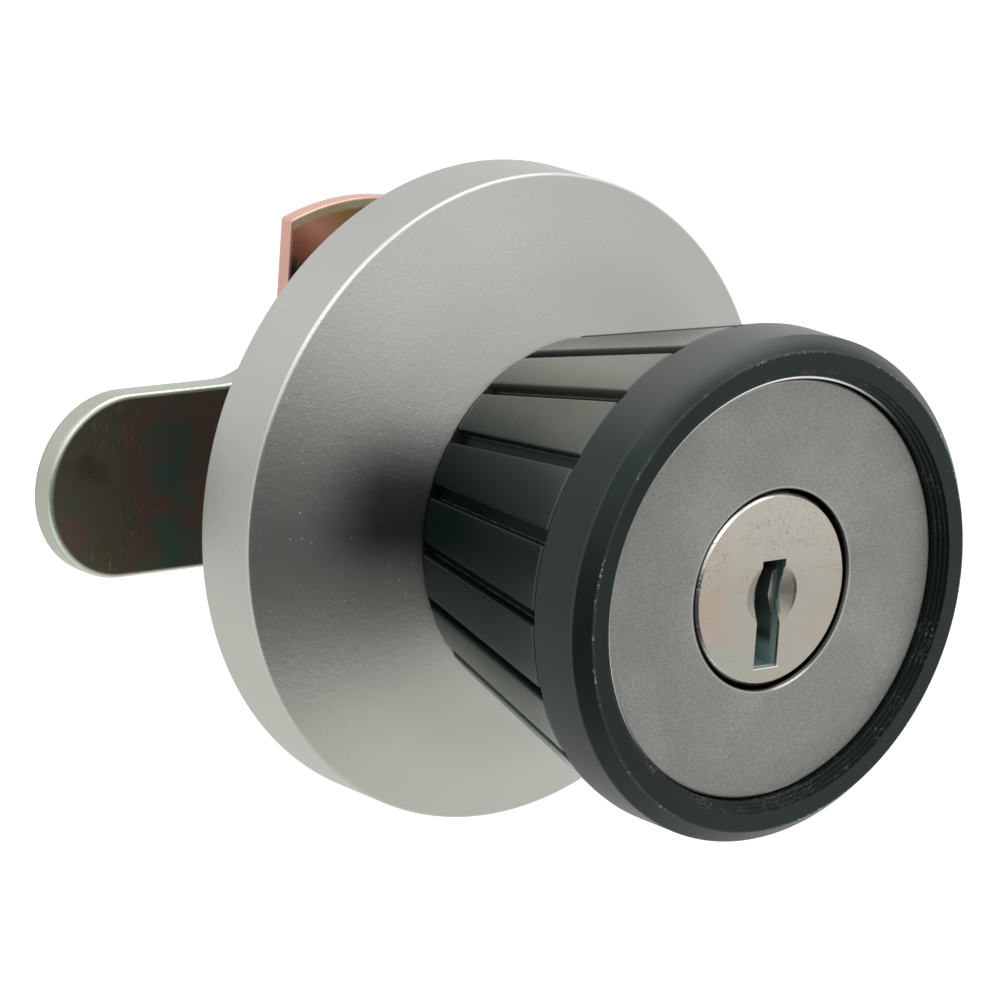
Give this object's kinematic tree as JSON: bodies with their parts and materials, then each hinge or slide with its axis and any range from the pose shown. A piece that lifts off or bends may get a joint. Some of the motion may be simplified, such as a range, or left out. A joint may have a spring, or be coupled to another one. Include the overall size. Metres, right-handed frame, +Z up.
{
  "type": "locking knob",
  "caption": "Conical locking knob with a black grooved grip, keyed plug, steel cam tongue and rod plate for a steel cupboard door.",
  "frame": {"origin": "centre of the rosette's back face, on the knob's axis, where it meets the door's front face", "axes": "-Y out of the door along the knob's axis, +Y through the door, +Z up, the cam tongue along -X"},
  "size_m": [0.0596, 0.0613, 0.052],
  "materials": {
    "satin_chrome": "satin",
    "nickel": "satin",
    "plug_nickel": "satin nickel plate",
    "zinc_steel": "zinc plated",
    "spring_steel": "oiled",
    "black_grip": "satin",
    "black_ring": "satin",
    "cast_face": "fine blasted",
    "passivated_steel": "yellow passivated",
    "passivated_plate": "yellow passivated",
    "wafer_brass": "plain"
  },
  "bodies": {
    "door_side": {"rosette": "satin_chrome", "threaded_bush": "nickel", "lock_washer": "zinc_steel", "fixing_nut": "nickel"},
    "knob": {"grip": "black_grip", "front_ring": "black_ring", "knob_core": "cast_face", "core_circlip": "spring_steel", "plug_pin": "spring_steel", "spindle": "zinc_steel", "dished_washer": "spring_steel", "spindle_circlip": "spring_steel", "cam": "passivated_steel", "cam_spacer": "zinc_steel", "rod_plate": "passivated_plate", "flat_washer": "zinc_steel", "spring_washer": "zinc_steel", "cam_screw": "zinc_steel"},
    "plug": {"key_plug": "plug_nickel", "wafer_springs": "spring_steel"},
    "bolt": {"lock_bolt": "spring_steel"},
    "wafer_body_1": {"wafer_1": "wafer_brass"},
    "wafer_body_2": {"wafer_2": "wafer_brass"},
    "wafer_body_3": {"wafer_3": "wafer_brass"},
    "wafer_body_4": {"wafer_4": "wafer_brass"},
    "wafer_body_5": {"wafer_5": "wafer_brass"}
  },
  "joints": [
    {"name": "knob_turn", "type": "hinge", "parent": "door_side", "child": "knob", "pos_m": [0, 0, 0], "axis": [0, 1, 0], "range_deg": [0, 90]},
    {"name": "plug_turn", "type": "hinge", "parent": "knob", "child": "plug", "pos_m": [0, 0, 0], "axis": [0, 1, 0], "range_deg": [0, 90]},
    {"name": "bolt_slide", "type": "slide", "parent": "knob", "child": "bolt", "axis": [0, 0, 1], "range_m": [0, 0.00191]},
    {"name": "wafer_1_slide", "type": "slide", "parent": "plug", "child": "wafer_body_1", "axis": [0, 0, 1], "range_m": [0, 0.001], "deforming": ["wafer_springs"]},
    {"name": "wafer_2_slide", "type": "slide", "parent": "plug", "child": "wafer_body_2", "axis": [0, 0, 1], "range_m": [0, 0.001]},
    {"name": "wafer_3_slide", "type": "slide", "parent": "plug", "child": "wafer_body_3", "axis": [0, 0, 1], "range_m": [0, 0.001]},
    {"name": "wafer_4_slide", "type": "slide", "parent": "plug", "child": "wafer_body_4", "axis": [0, 0, 1], "range_m": [0, 0.001]},
    {"name": "wafer_5_slide", "type": "slide", "parent": "plug", "child": "wafer_body_5", "axis": [0, 0, 1], "range_m": [0, 0.001]}
  ],
  "couplings": [
    {"joint": "bolt_slide", "follows": "plug_turn", "m_per_rad": 0.0012096},
    {"joint": "wafer_2_slide", "follows": "wafer_1_slide", "ratio": 1},
    {"joint": "wafer_3_slide", "follows": "wafer_1_slide", "ratio": 1},
    {"joint": "wafer_4_slide", "follows": "wafer_1_slide", "ratio": 1},
    {"joint": "wafer_5_slide", "follows": "wafer_1_slide", "ratio": 1}
  ]
}
